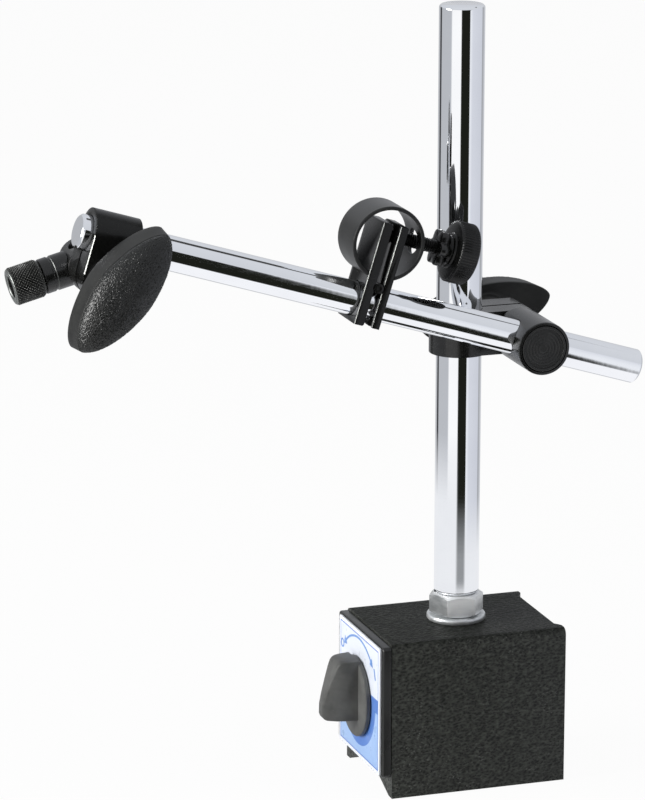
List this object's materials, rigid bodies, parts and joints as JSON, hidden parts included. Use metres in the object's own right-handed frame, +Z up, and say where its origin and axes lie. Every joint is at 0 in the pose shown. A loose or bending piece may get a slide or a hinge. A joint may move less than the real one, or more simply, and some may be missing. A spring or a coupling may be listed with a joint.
{
  "type": "magnetic base stand",
  "caption": "Switchable magnetic base with a vertical column, a cross clamp, a tilting cross arm, a dovetail gauge holder and a swivelling stem holder at the arm's end.",
  "frame": {"origin": "centre of the whole object's bounding box in plan, at the level of the block's sole", "axes": "+Z up along the column; the block's long side runs along X with the magnet switch at -X; the cross arm lies in front of the column, towards -Y, and runs out to -X"},
  "size_m": [0.2236, 0.0978, 0.2774],
  "materials": {
    "wrinkle_paint": "black crackle paint over a machined steel block",
    "chrome": "polished hard chrome on round bar",
    "zinc": "satin bright steel",
    "black_oxide": "satin black finish with bright worn edges",
    "knob_plastic": "black moulded plastic with a pebbled domed face and smooth sides",
    "switch_plastic": "dark grey moulded plastic",
    "cover_black": "satin black",
    "label": "printed plate, white above and light blue below",
    "brass": "machined brass",
    "magnet": "sintered magnet, dull grey"
  },
  "bodies": {
    "base": {"pole_front": "wrinkle_paint", "pole_rear": "wrinkle_paint", "divider_upper": "brass", "divider_lower": "brass", "end_cover": "cover_black", "label_plate": "label", "cover_screw_1": "zinc", "cover_screw_2": "zinc", "cover_screw_3": "zinc", "cover_screw_4": "zinc", "hex_nut": "zinc", "washer": "zinc"},
    "switch": {"switch_knob": "switch_plastic", "switch_shaft": "brass", "magnet_rotor": "magnet"},
    "column": {"column": "chrome"},
    "cross_clamp": {"clamp_block": "black_oxide", "clamp_thrust_washer": "zinc"},
    "sleeve": {"arm_sleeve": "black_oxide", "eye_bolt": "zinc", "sleeve_end_cap": "cover_black"},
    "rear_knob": {"rear_knob": "knob_plastic", "rear_knob_insert": "brass"},
    "arm": {"cross_arm": "chrome"},
    "holder": {"holder_jaw_left": "black_oxide", "holder_jaw_right": "black_oxide", "holder_ring": "black_oxide", "holder_pin": "black_oxide"},
    "thumb_knob": {"thumb_knob": "black_oxide", "thumb_screw": "black_oxide"},
    "lock_nut": {"lobed_lock_nut": "black_oxide"},
    "end_clamp": {"end_clamp_block": "black_oxide", "end_thrust_washer": "zinc"},
    "front_knob": {"front_knob": "knob_plastic", "front_knob_insert": "brass"},
    "swivel": {"swivel_head": "black_oxide", "friction_washer": "zinc", "stem_stud": "zinc", "stem_collar": "black_oxide"},
    "stem_nut": {"stem_nut": "black_oxide"}
  },
  "joints": [
    {"name": "switch_turn", "type": "hinge", "parent": "base", "child": "switch", "pos_m": [0.05225, 0.01011, 0.0312], "axis": [1, 0, 0], "range_deg": [-45, 45]},
    {"name": "column_turn", "type": "hinge", "parent": "base", "child": "column", "pos_m": [0.05225, 0.01011, 0.0667], "axis": [0, 0, 1], "continuous": true},
    {"name": "clamp_slide", "type": "slide", "parent": "column", "child": "cross_clamp", "axis": [0, 0, 1], "range_m": [-0.03, 0.095]},
    {"name": "arm_tilt", "type": "hinge", "parent": "cross_clamp", "child": "sleeve", "pos_m": [0.07112, -0.01183, 0.16167], "axis": [-0.0035, 1, 0], "range_deg": [-40, 55]},
    {"name": "rear_knob_turn", "type": "hinge", "parent": "cross_clamp", "child": "rear_knob", "pos_m": [0.07101, 0.01937, 0.16167], "axis": [-0.0035, 1, 0], "range_deg": [-90, 90]},
    {"name": "arm_slide", "type": "slide", "parent": "sleeve", "child": "arm", "axis": [0.955, 0.0033, -0.2965], "range_m": [-0.03, 0.025]},
    {"name": "holder_slide", "type": "slide", "parent": "arm", "child": "holder", "axis": [0.955, 0.0033, -0.2965], "range_m": [-0.05, 0.02]},
    {"name": "thumb_screw_turn", "type": "hinge", "parent": "holder", "child": "thumb_knob", "pos_m": [0.04036, -0.01194, 0.19614], "axis": [0.955, 0.0033, -0.2965], "continuous": true},
    {"name": "lock_nut_turn", "type": "hinge", "parent": "holder", "child": "lock_nut", "pos_m": [0.03482, -0.01196, 0.19786], "axis": [0.955, 0.0033, -0.2965], "continuous": true},
    {"name": "end_clamp_roll", "type": "hinge", "parent": "arm", "child": "end_clamp", "pos_m": [-0.08063, -0.01236, 0.20879], "axis": [0.955, 0.0033, -0.2965], "range_deg": [-90, 90]},
    {"name": "front_knob_turn", "type": "hinge", "parent": "end_clamp", "child": "front_knob", "pos_m": [-0.08431, -0.02117, 0.19685], "axis": [-0.0035, 1, 0], "range_deg": [-90, 90]},
    {"name": "swivel_turn", "type": "hinge", "parent": "end_clamp", "child": "swivel", "pos_m": [-0.0844, 0.00613, 0.19685], "axis": [-0.0035, 1, 0], "continuous": true},
    {"name": "stem_nut_turn", "type": "hinge", "parent": "swivel", "child": "stem_nut", "pos_m": [-0.0844, 0.00613, 0.19685], "axis": [-0.9672, -0.0034, -0.2539], "continuous": true}
  ]
}
